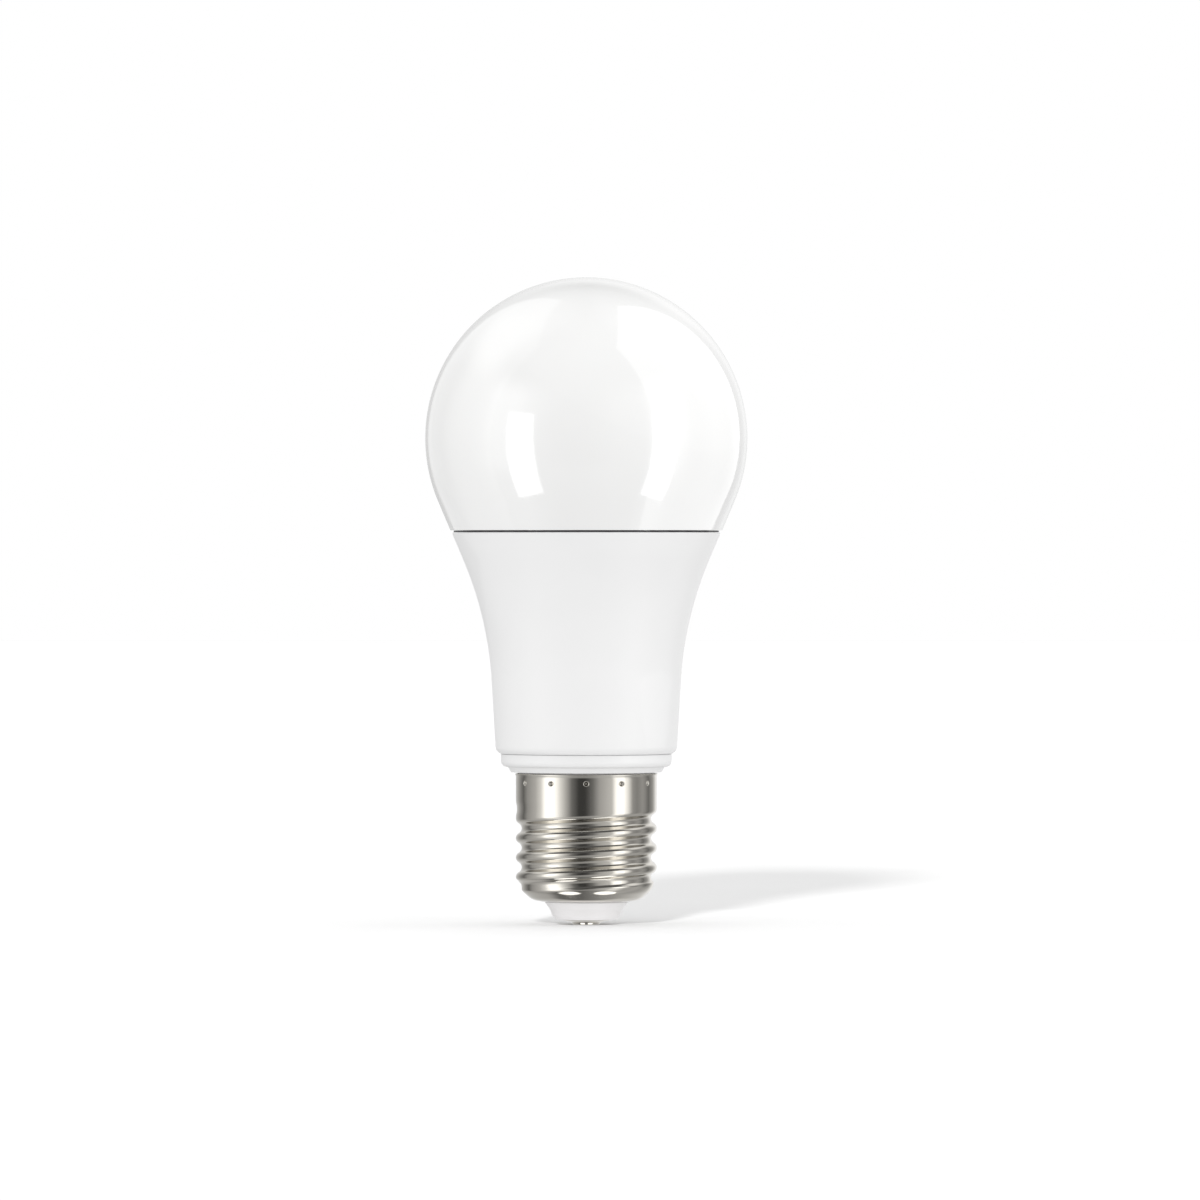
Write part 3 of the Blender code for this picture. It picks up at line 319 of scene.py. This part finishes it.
def make_housing(surface):
    top_z = SEAM_Z - SEAM_GAP / 2
    recess_z, recess_radius = 70.9, SPIGOT_RADIUS + 0.3
    outer = housing_wall(0, top_z, COLLAR_TOP_Z)
    corners = [
        (*outer[0], 0.3),
        *outer[1:-1],
        (*outer[-1], 1.5),
        (COLLAR_RADIUS, COLLAR_TOP_Z),
        (COLLAR_RADIUS, COLLAR_FOOT_Z, 1.1),
        (14.6, COLLAR_FOOT_Z, 0.15),
        (14.0, SHELL_TOP_Z + 0.3, 0.2),
        (SHELL_SEAT_RADIUS, SHELL_TOP_Z + 0.3),
        (SHELL_SEAT_RADIUS, CRIMP_Z + 0.95),
        (12.0, CRIMP_Z + 0.75),
        (12.0, CRIMP_Z - 0.75),
        (SHELL_SEAT_RADIUS, CRIMP_Z - 0.95),
        (SHELL_SEAT_RADIUS, 22.9),
        (11.45, 21.7),
        (11.45, 8.3),
        (10.2, 8.3),
        (10.2, 30.5, 0.8),
        (14.3, 30.9, 0.8),
        *housing_wall(HOUSING_WALL, recess_z, 33.0)[::-1],
        (recess_radius, recess_z),
        (recess_radius, top_z, 0.15),
    ]
    mesh = turned_mesh("housing_skin", rounded(corners), 192)
    return new_object("housing_skin", mesh, surface, "housing_shell")


def fade(turns, run_out):
    """0 below run_out, 1 above it, and smooth between."""
    share = min(1.0, max(0.0, (turns - run_out[0]) / (run_out[1] - run_out[0])))
    return share * share * (3 - 2 * share)


def thread_radius(angle, z):
    """The shell's outer radius: a right-hand thread that runs out at both ends."""
    turn = (angle % (2 * math.pi)) / (2 * math.pi)
    if turn > 0.5:
        turn -= 1.0
    above_crest = (z - TOP_CREST_Z) / THREAD_PITCH - turn
    from_crest = (above_crest - round(above_crest)) * THREAD_PITCH
    if abs(from_crest) <= THREAD_PITCH / 4:
        height = THREAD_MAJOR - THREAD_ARC + math.sqrt(THREAD_ARC**2 - from_crest**2)
    else:
        from_root = abs(from_crest) - THREAD_PITCH / 2
        height = THREAD_MINOR + THREAD_ARC - math.sqrt(THREAD_ARC**2 - from_root**2)
    height = (height - THREAD_MINOR) / (THREAD_MAJOR - THREAD_MINOR)
    root_turns = math.floor(above_crest) + turn
    crest_turns = round(above_crest) + turn + (TOP_CREST_Z - BOTTOM_CREST_Z) / THREAD_PITCH
    height = 1 - (1 - height) * (1 - fade(root_turns, TOP_RUN_OUT))
    height *= fade(crest_turns, BOTTOM_RUN_OUT)
    return THREAD_MINOR + height * (THREAD_MAJOR - THREAD_MINOR)


def shoulder_profile(step):
    """Points down the rounded shoulder, which the thread runs into, to the opening for the insulator."""
    corners = [(13.5, 8.75), (12.6, 8.12), (12.6, 6.75, 3.0), (10.1, 4.6, 3.0)]
    return rounded([*corners, (SHELL_OPENING_RADIUS, 4.2)], step)


def shoulder_radius(profile, z):
    for (r0, z0), (r1, z1) in zip(profile, profile[1:]):
        if z0 >= z > z1:
            return r0 + (r1 - r0) * (z0 - z) / (z0 - z1)
    return profile[0][0]


def smooth_least(first, second, blend=0.03):
    """The lesser of two radii, with the corner where they cross rounded off."""
    gap = min(40.0, abs(first - second) / blend)
    return min(first, second) - blend * math.log(1 + math.exp(-gap))


def crimp_depth(angle, z):
    """How far a point of the skirt is punched in: a round pointed pit with a slightly raised lip."""
    spacing = 2 * math.pi / CRIMPS
    across = ((angle + spacing / 2) % spacing - spacing / 2) * THREAD_MAJOR
    share = math.hypot(across, z - CRIMP_Z) / CRIMP_RADIUS
    if share < 1:
        return CRIMP_DEPTH * (1 - share**1.4)
    lip = max(0.0, 1 - abs(share - 1.14) / 0.14)
    return -CRIMP_LIP * lip


def make_screw_shell(surface):
    """One sheet of columns and rows, closer together round the crimps, thickened inwards."""
    spacing = 2 * math.pi / CRIMPS
    near = CRIMP_REACH / THREAD_MAJOR
    columns = []
    for crimp in range(CRIMPS):
        middle = crimp * spacing
        columns += [middle - near + 2 * near * i / CRIMP_STEPS for i in range(CRIMP_STEPS)]
        columns += [middle + near + (spacing - 2 * near) * i / 8 for i in range(8)]
    # A row is (radius, z), and its radius is None where the thread and the crimps set it
    rows = [
        (THREAD_MAJOR + 0.15, SHELL_TOP_Z),
        (THREAD_MAJOR + 0.1, SHELL_TOP_Z - 0.18),
        (THREAD_MAJOR, SHELL_TOP_Z - 0.4),
    ]
    crimp_step = 2 * CRIMP_REACH / CRIMP_STEPS
    rows += [(None, CRIMP_Z + CRIMP_REACH - crimp_step * i) for i in range(CRIMP_STEPS + 1)]
    rows += [(None, 25.2), (None, 24.4)]
    height = SKIRT_FOOT_Z - THREAD_FOOT_Z
    fine = math.ceil(height / THREAD_ROW)
    rows += [(None, SKIRT_FOOT_Z - height * i / fine) for i in range(fine + 1)]
    shoulder = shoulder_profile(0.08)
    rows += [point for point in shoulder_profile(0.2) if point[1] < THREAD_FOOT_Z - 0.05]

    bm = bmesh.new()
    grid = []
    for radius, z in rows:
        ring = []
        for angle in columns:
            out = radius
            if out is None:
                out = thread_radius(angle, z) - crimp_depth(angle, z)
                out = smooth_least(out, shoulder_radius(shoulder, z))
            ring.append(bm.verts.new((out * math.cos(angle) * MM, out * math.sin(angle) * MM, z * MM)))
        grid.append(ring)
    for upper, lower in zip(grid, grid[1:]):
        for index in range(len(columns)):
            following = (index + 1) % len(columns)
            bm.faces.new((upper[index], lower[index], lower[following], upper[following]))
    mesh = finished_mesh("shell_skin", bm, 60)
    shell = new_object("shell_skin", mesh, surface, "screw_shell")
    wall = shell.modifiers.new("wall", "SOLIDIFY")
    wall.thickness = SHELL_WALL * MM
    wall.offset = -1
    return shell


def make_cap_insulator(surface):
    corners = [
        (11.4, 8.0),
        (11.4, 6.45),
        (9.7, 5.1),
        (7.7, 4.75),
        (7.7, 4.1),
        (6.75, 2.8, 3.0),
        (6.3, 1.6, 0.9),
        (5.6, 0.95, 0.1),
        (5.45, 0.95),
        (5.45, 1.6),
        (1.7, 1.6),
        (1.7, 8.0),
    ]
    mesh = turned_mesh("insulator_skin", rounded(corners, 0.1), 128)
    return new_object("insulator_skin", mesh, surface, "cap_insulator")


# Painted shade: a near-black ring set in the seam's gap to stand for the shadow inside the gap between globe
# and housing
def make_seam_shadow_ring(surface):
    corners = [
        (24.7, SEAM_Z + 0.125, 0.08),
        (24.7, SEAM_Z - 0.125, 0.08),
        (23.4, SEAM_Z - 0.125),
        (23.4, SEAM_Z + 0.125),
    ]
    mesh = turned_mesh("seam_shadow_skin", rounded(corners, 0.03), 192)
    return new_object("seam_shadow_skin", mesh, surface, "seam_gasket")


def make_centre_contact(surface):
    shank, bore = 1.4, 0.85
    corners = [
        (0.0, 1.0),
        (bore, 1.0),
        (bore, 7.8),
        (shank, 7.8),
        (shank, 1.4),
        (5.05, 1.4, 0.1),
        (5.25, 1.2, 0.08),
        (5.05, 0.9, 0.15),
        (2.75, 0.4, 0.3),
        (2.4, 0.0, 0.15),
        (0.0, 0.0),
    ]
    mesh = turned_mesh("contact_skin", rounded(corners, 0.08), 96)
    return new_object("contact_skin", mesh, surface, "centre_contact")


opal = grained(
    "opal_polycarbonate",
    (0.85, 0.85, 0.845),
    0.10,
    grain=900,
    depth=0.0012,
    variation=0.012,
    Coat_Weight=0.6,
)
satin = grained("satin_housing", (0.87, 0.87, 0.87), 0.36, grain=5200, depth=0.0025, variation=0.015)
nickel = grained(
    "bright_nickel",
    (0.80, 0.768, 0.705),
    0.09,
    metallic=1.0,
    grain=1800,
    depth=0.001,
    variation=0.05,
    stretch=(1, 1, 6),
)
ivory = grained("insulator_plastic", (0.84, 0.825, 0.825), 0.32, grain=3000, depth=0.002, variation=0.03)
# Near-black colour of the seam ring: painted shade for the shadow in the gap between globe and housing
seam_shade_rubber = grained("seam_shadow_rubber", (0.05, 0.05, 0.055), 0.75, grain=4000, depth=0.003, variation=0.2)

GLOBE = make_globe(opal)
make_housing(satin)
make_seam_shadow_ring(seam_shade_rubber)
make_screw_shell(nickel)
INSULATOR = make_cap_insulator(ivory)
make_centre_contact(nickel)

# ---- Inner pieces keep their CAD solids, with finished materials ----

# Colour, roughness and metalness of each material slot
INNER_FINISHES = {
    "clear_silicone": ((0.80, 0.80, 0.78), 0.45, 0.0),
    "drawn_aluminium": ((0.78, 0.79, 0.80), 0.35, 1.0),
    "thermal_pad_grey": ((0.42, 0.45, 0.50), 0.80, 0.0),
    "white_solder_mask": ((0.90, 0.90, 0.88), 0.40, 0.0),
    "led_phosphor": ((0.90, 0.75, 0.20), 0.45, 0.0),
    "led_package": ((0.88, 0.88, 0.85), 0.45, 0.0),
    "zinc_steel": ((0.62, 0.62, 0.60), 0.30, 1.0),
    "black_solder_mask": ((0.03, 0.03, 0.035), 0.40, 0.0),
    "tinned_shield": ((0.70, 0.70, 0.68), 0.30, 1.0),
    "enamelled_copper": ((0.72, 0.36, 0.16), 0.35, 1.0),
    "chip_epoxy": ((0.035, 0.035, 0.035), 0.55, 0.0),
    "green_solder_mask": ((0.04, 0.20, 0.09), 0.40, 0.0),
    "capacitor_epoxy": ((0.45, 0.13, 0.05), 0.35, 0.0),
    "varistor_epoxy": ((0.04, 0.14, 0.42), 0.40, 0.0),
    "ferrite": ((0.10, 0.10, 0.11), 0.70, 0.0),
    "bobbin_phenolic": ((0.04, 0.04, 0.04), 0.60, 0.0),
    "winding_tape": ((0.85, 0.62, 0.08), 0.45, 0.0),
    "capacitor_sleeve_black": ((0.03, 0.03, 0.04), 0.30, 0.0),
    "capacitor_sleeve_blue": ((0.03, 0.06, 0.20), 0.30, 0.0),
    "resistor_coating": ((0.10, 0.28, 0.16), 0.55, 0.0),
    "capacitor_ceramic": ((0.55, 0.42, 0.28), 0.50, 0.0),
    "red_lead_insulation": ((0.55, 0.03, 0.02), 0.45, 0.0),
    "black_lead_insulation": ((0.03, 0.03, 0.03), 0.45, 0.0),
}


def finish_inner_pieces():
    """Gives each CAD node that no finer piece replaces the material of its slot."""
    finishes = {}
    for slot, (colour, roughness, metallic) in INNER_FINISHES.items():
        finishes[slot] = grained(slot + "_finish", colour, roughness, metallic, variation=0.15)
    for entry in frame["record"]["subparts"]:
        node = frame["nodes"][entry["node"]]
        if not node.hide_render:
            node.data.materials.clear()
            node.data.materials.append(finishes[entry["material_slot"]])


finish_inner_pieces()


# ---- Studio ----

FLOOR_WHITE = 0.74
BACKDROP = 1.0
SKY_LIGHT = 1.15  # what falls on matt surfaces from above, and, with FLOOR_LIGHT, from below
FLOOR_LIGHT = 1.0
SHADOW_AZIMUTH = math.radians(82)  # where the key light's shadow points, from +X
KEY_ELEVATION = math.radians(19)


def make_floor():
    bm = bmesh.new()
    bmesh.ops.create_grid(bm, x_segments=8, y_segments=8, size=6.0)
    mesh = bpy.data.meshes.new("studio_floor")
    bm.to_mesh(mesh)
    bm.free()
    floor = bpy.data.objects.new("studio_floor", mesh)
    floor.location.z = -0.02 * MM
    bpy.context.scene.collection.objects.link(floor)
    surface = grained("pale_floor", (FLOOR_WHITE,) * 3, 0.9, grain=40, depth=0.0, variation=0.005)
    mesh.materials.append(surface)
    floor.visible_glossy = False
    floor.visible_diffuse = False
    return floor


def math_node(tree, operation, first, second=0.0, clamp=False):
    node = tree.nodes.new("ShaderNodeMath")
    node.operation = operation
    node.use_clamp = clamp
    for socket, value in zip(node.inputs, (first, second)):
        if isinstance(value, (int, float)):
            socket.default_value = value
        else:
            tree.links.new(value, socket)
    return node.outputs["Value"]


def step_between(tree, value, low, high):
    """0 below low, 1 above high, and smooth between. low above high turns it round."""
    node = tree.nodes.new("ShaderNodeMapRange")
    node.interpolation_type = "SMOOTHSTEP"
    falling = low > high
    node.inputs["From Min"].default_value = min(low, high)
    node.inputs["From Max"].default_value = max(low, high)
    node.inputs["To Min"].default_value = 1.0 if falling else 0.0
    node.inputs["To Max"].default_value = 0.0 if falling else 1.0
    tree.links.new(value, node.inputs["Value"])
    return node.outputs["Result"]


def mix(tree, share, first, second):
    """first where share is 0 and second where it is 1."""
    kept = math_node(tree, "MULTIPLY", first, math_node(tree, "SUBTRACT", 1.0, share))
    added = math_node(tree, "MULTIPLY", share, second)
    return math_node(tree, "ADD", kept, added)


# What stands round the bulb at eye level, as its metal sees it: degrees right of the front, and brightness
SURROUNDINGS = [
    (-180, 0.80),
    (-164, 0.60),
    (-150, 0.44),
    (-126, 0.13),
    (-112, 0.33),
    (-92, 0.50),
    (-80, 0.80),
    (-70, 1.55),
    (-54, 1.55),
    (-44, 0.92),
    (-36, 0.58),
    (-24, 0.17),
    (-12, 0.045),
    (-2, 0.045),
    (10, 0.15),
    (22, 0.42),
    (36, 0.56),
    (43, 0.62),
    (51, 1.50),
    (65, 1.50),
    (75, 0.80),
    (82, 0.34),
    (92, 0.26),
    (106, 0.35),
    (124, 0.16),
    (140, 0.36),
    (160, 0.95),
    (180, 0.80),
]
# Two lights straight below, as the metal sees them: x and y of their directions, and their half widths
LOW_LIGHTS = ((-0.275, -0.02, 0.17, 0.24), (0.312, -0.02, 0.185, 0.24))
LOW_LIGHT_BRIGHTNESS = 1.6
# Degrees of elevation over which one part of the surroundings gives way to the next
CEILING_EDGE = (24, 42)
TABLE_EDGE = (-12, -26)
SHADE_EDGE = (-48, -64)


def make_world():
    """Even white for the camera and matt surfaces, and a studio's cards for glossy ones to reflect."""
    world = bpy.data.worlds.new("studio")
    bpy.context.scene.world = world
    world.use_nodes = True
    tree = world.node_tree
    tree.nodes.clear()
    place = tree.nodes.new("ShaderNodeTexCoord")
    split = tree.nodes.new("ShaderNodeSeparateXYZ")
    tree.links.new(place.outputs["Generated"], split.inputs["Vector"])
    x, y, z = (split.outputs[axis] for axis in "XYZ")
    front = math_node(tree, "MULTIPLY", y, -1.0)
    azimuth = math_node(tree, "MULTIPLY", math_node(tree, "ARCTAN2", x, front), 180 / math.pi)
    elevation = math_node(tree, "MULTIPLY", math_node(tree, "ARCSINE", z), 180 / math.pi)

    share = math_node(tree, "MULTIPLY_ADD", azimuth, 1 / 360)
    share.node.inputs[2].default_value = 0.5
    ramp = tree.nodes.new("ShaderNodeValToRGB")
    stops = ramp.color_ramp.elements
    for index, (degrees, brightness) in enumerate(SURROUNDINGS):
        position = degrees / 360 + 0.5
        stop = stops[index] if index < 2 else stops.new(position)
        stop.position = position
        stop.color = (brightness, brightness, brightness, 1.0)
    tree.links.new(share, ramp.inputs["Fac"])
    level = ramp.outputs["Color"]

    # A dark ceiling, lighter behind the bulb at both sides, and a pale table with the bulb's shade under it
    side = math_node(tree, "ABSOLUTE", x)
    ceiling = math_node(tree, "ADD", math_node(tree, "MULTIPLY", side, 1.1), 0.10)
    ceiling = mix(tree, step_between(tree, y, -0.2, 0.15), 0.10, ceiling)
    level = mix(tree, step_between(tree, elevation, *CEILING_EDGE), level, ceiling)
    table = math_node(tree, "ADD", math_node(tree, "MULTIPLY", ramp.outputs["Color"], 0.38), 0.30)
    level = mix(tree, step_between(tree, elevation, *TABLE_EDGE), level, table)
    shade_below = math_node(tree, "ADD", math_node(tree, "MULTIPLY", x, 0.5), 0.18)
    shade_below = math_node(tree, "MAXIMUM", shade_below, 0.15)
    level = mix(tree, step_between(tree, elevation, *SHADE_EDGE), level, shade_below)
    for centre_x, centre_y, half_x, half_y in LOW_LIGHTS:
        over = math_node(tree, "DIVIDE", math_node(tree, "SUBTRACT", x, centre_x), half_x)
        along = math_node(tree, "DIVIDE", math_node(tree, "SUBTRACT", y, centre_y), half_y)
        square = math_node(tree, "MULTIPLY", over, over)
        reach = math_node(tree, "ADD", square, math_node(tree, "MULTIPLY", along, along))
        below = step_between(tree, z, -0.8, -0.88)
        lit = math_node(tree, "MULTIPLY", step_between(tree, reach, 1.3, 0.8), below)
        lit = math_node(tree, "MULTIPLY", lit, LOW_LIGHT_BRIGHTNESS)
        level = math_node(tree, "MAXIMUM", level, lit)

    gloss = tree.nodes.new("ShaderNodeBackground")
    tree.links.new(level, gloss.inputs["Strength"])
    matt = tree.nodes.new("ShaderNodeBackground")
    sky = step_between(tree, elevation, -8, 8)
    tree.links.new(mix(tree, sky, FLOOR_LIGHT, SKY_LIGHT), matt.inputs["Strength"])
    seen = tree.nodes.new("ShaderNodeBackground")
    seen.inputs["Strength"].default_value = BACKDROP
    for node in (gloss, matt, seen):
        node.inputs["Color"].default_value = (1, 1, 1, 1)
    ray = tree.nodes.new("ShaderNodeLightPath")
    inner = tree.nodes.new("ShaderNodeMixShader")
    tree.links.new(ray.outputs["Is Glossy Ray"], inner.inputs["Fac"])
    tree.links.new(matt.outputs["Background"], inner.inputs[1])
    tree.links.new(gloss.outputs["Background"], inner.inputs[2])
    outer = tree.nodes.new("ShaderNodeMixShader")
    tree.links.new(ray.outputs["Is Camera Ray"], outer.inputs["Fac"])
    tree.links.new(inner.outputs["Shader"], outer.inputs[1])
    tree.links.new(seen.outputs["Background"], outer.inputs[2])
    out = tree.nodes.new("ShaderNodeOutputWorld")
    tree.links.new(outer.outputs["Shader"], out.inputs["Surface"])


def new_lamp(name, kind, energy, lit=None, unlit=None):
    """A lamp that lights only the object lit, or everything but the object unlit."""
    data = bpy.data.lights.new(name, kind)
    data.energy = energy
    lamp = bpy.data.objects.new(name, data)
    bpy.context.scene.collection.objects.link(lamp)
    receivers = bpy.data.collections.new(name + "_receivers")
    receivers.objects.link(lit or unlit)
    if unlit:
        receivers.collection_objects[0].light_linking.link_state = "EXCLUDE"
    lamp.light_linking.receiver_collection = receivers
    lamp.visible_camera = False
    return lamp


def direction(azimuth, elevation):
    """The direction of a point azimuth degrees right of the front and elevation degrees up."""
    a, e = math.radians(azimuth), math.radians(elevation)
    return Vector((math.sin(a) * math.cos(e), -math.cos(a) * math.cos(e), math.sin(e)))


def aim(lamp, travel):
    lamp.rotation_euler = travel.to_track_quat("-Z", "Y").to_euler()


def make_key_light(floor):
    """A low light that whitens the floor outside the bulb's long shadow."""
    key = new_lamp("key", "SUN", 3.0, lit=floor)
    key.data.angle = math.radians(5)
    along = Vector((math.cos(SHADOW_AZIMUTH), math.sin(SHADOW_AZIMUTH), 0))
    aim(key, along * math.cos(KEY_ELEVATION) - Vector((0, 0, math.sin(KEY_ELEVATION))))


def make_top_light(floor):
    """Soft light from above right on the bulb alone."""
    top = new_lamp("top", "SUN", 0.28, unlit=floor)
    top.data.angle = math.radians(60)
    top.visible_glossy = False
    aim(top, -direction(50, 55))


def make_foot_light(insulator):
    """Light from the pale table on the insulator."""
    low = new_lamp("foot", "SUN", 0.20, lit=insulator)
    low.data.angle = math.radians(90)
    low.visible_glossy = False
    aim(low, -direction(0, -30))


def make_softbox(name, azimuth, elevation, width, height, brightness, globe):
    """A rectangular light that shows in the globe's gloss only, in degrees as seen from the globe."""
    distance = 1.5
    box = new_lamp(name, "AREA", 1.0, lit=globe)
    box.data.shape = "RECTANGLE"
    box.data.size = 2 * distance * math.tan(math.radians(width / 2))
    box.data.size_y = 2 * distance * math.tan(math.radians(height / 2))
    box.data.energy = brightness * math.pi * box.data.size * box.data.size_y
    box.visible_diffuse = False
    toward = direction(azimuth, elevation)
    box.location = toward * distance + Vector((0, 0, (OVERALL_HEIGHT - GLOBE_RADIUS) * MM))
    aim(box, -toward)


# Azimuth, elevation, width, height and brightness of each
SOFTBOXES = {
    "left_strip": (-48, -11, 21, 54, 3.0),
    "right_strip": (58, -11, 20, 54, 3.0),
    "right_window": (97, 6, 92, 136, 1.0),
    "left_window": (-114, 6, 84, 126, 0.4),
}

# The frame's width at the bulb, the camera's place and the point in the middle of the frame
VIEW_WIDTH = 223.5
CAMERA_DISTANCE = 2000.0
CAMERA_HEIGHT = 70.0
AIM = (2.55, 0.0, 60.4)


def make_camera():
    data = bpy.data.cameras.new("camera")
    data.sensor_width = 36.0
    data.lens = data.sensor_width * CAMERA_DISTANCE / VIEW_WIDTH
    data.clip_start = 0.1
    data.clip_end = 50.0
    camera = bpy.data.objects.new("camera", data)
    bpy.context.scene.collection.objects.link(camera)
    camera.location = Vector((AIM[0], -CAMERA_DISTANCE, CAMERA_HEIGHT)) * MM
    toward = Vector(AIM) * MM - camera.location
    camera.rotation_euler = toward.to_track_quat("-Z", "Y").to_euler()
    bpy.context.scene.camera = camera


FLOOR = make_floor()
make_world()
make_key_light(FLOOR)
make_top_light(FLOOR)
make_foot_light(INSULATOR)
for box_name, box_shape in SOFTBOXES.items():
    make_softbox(box_name, *box_shape, GLOBE)
make_camera()
bpy.context.scene.view_settings.view_transform = "Standard"
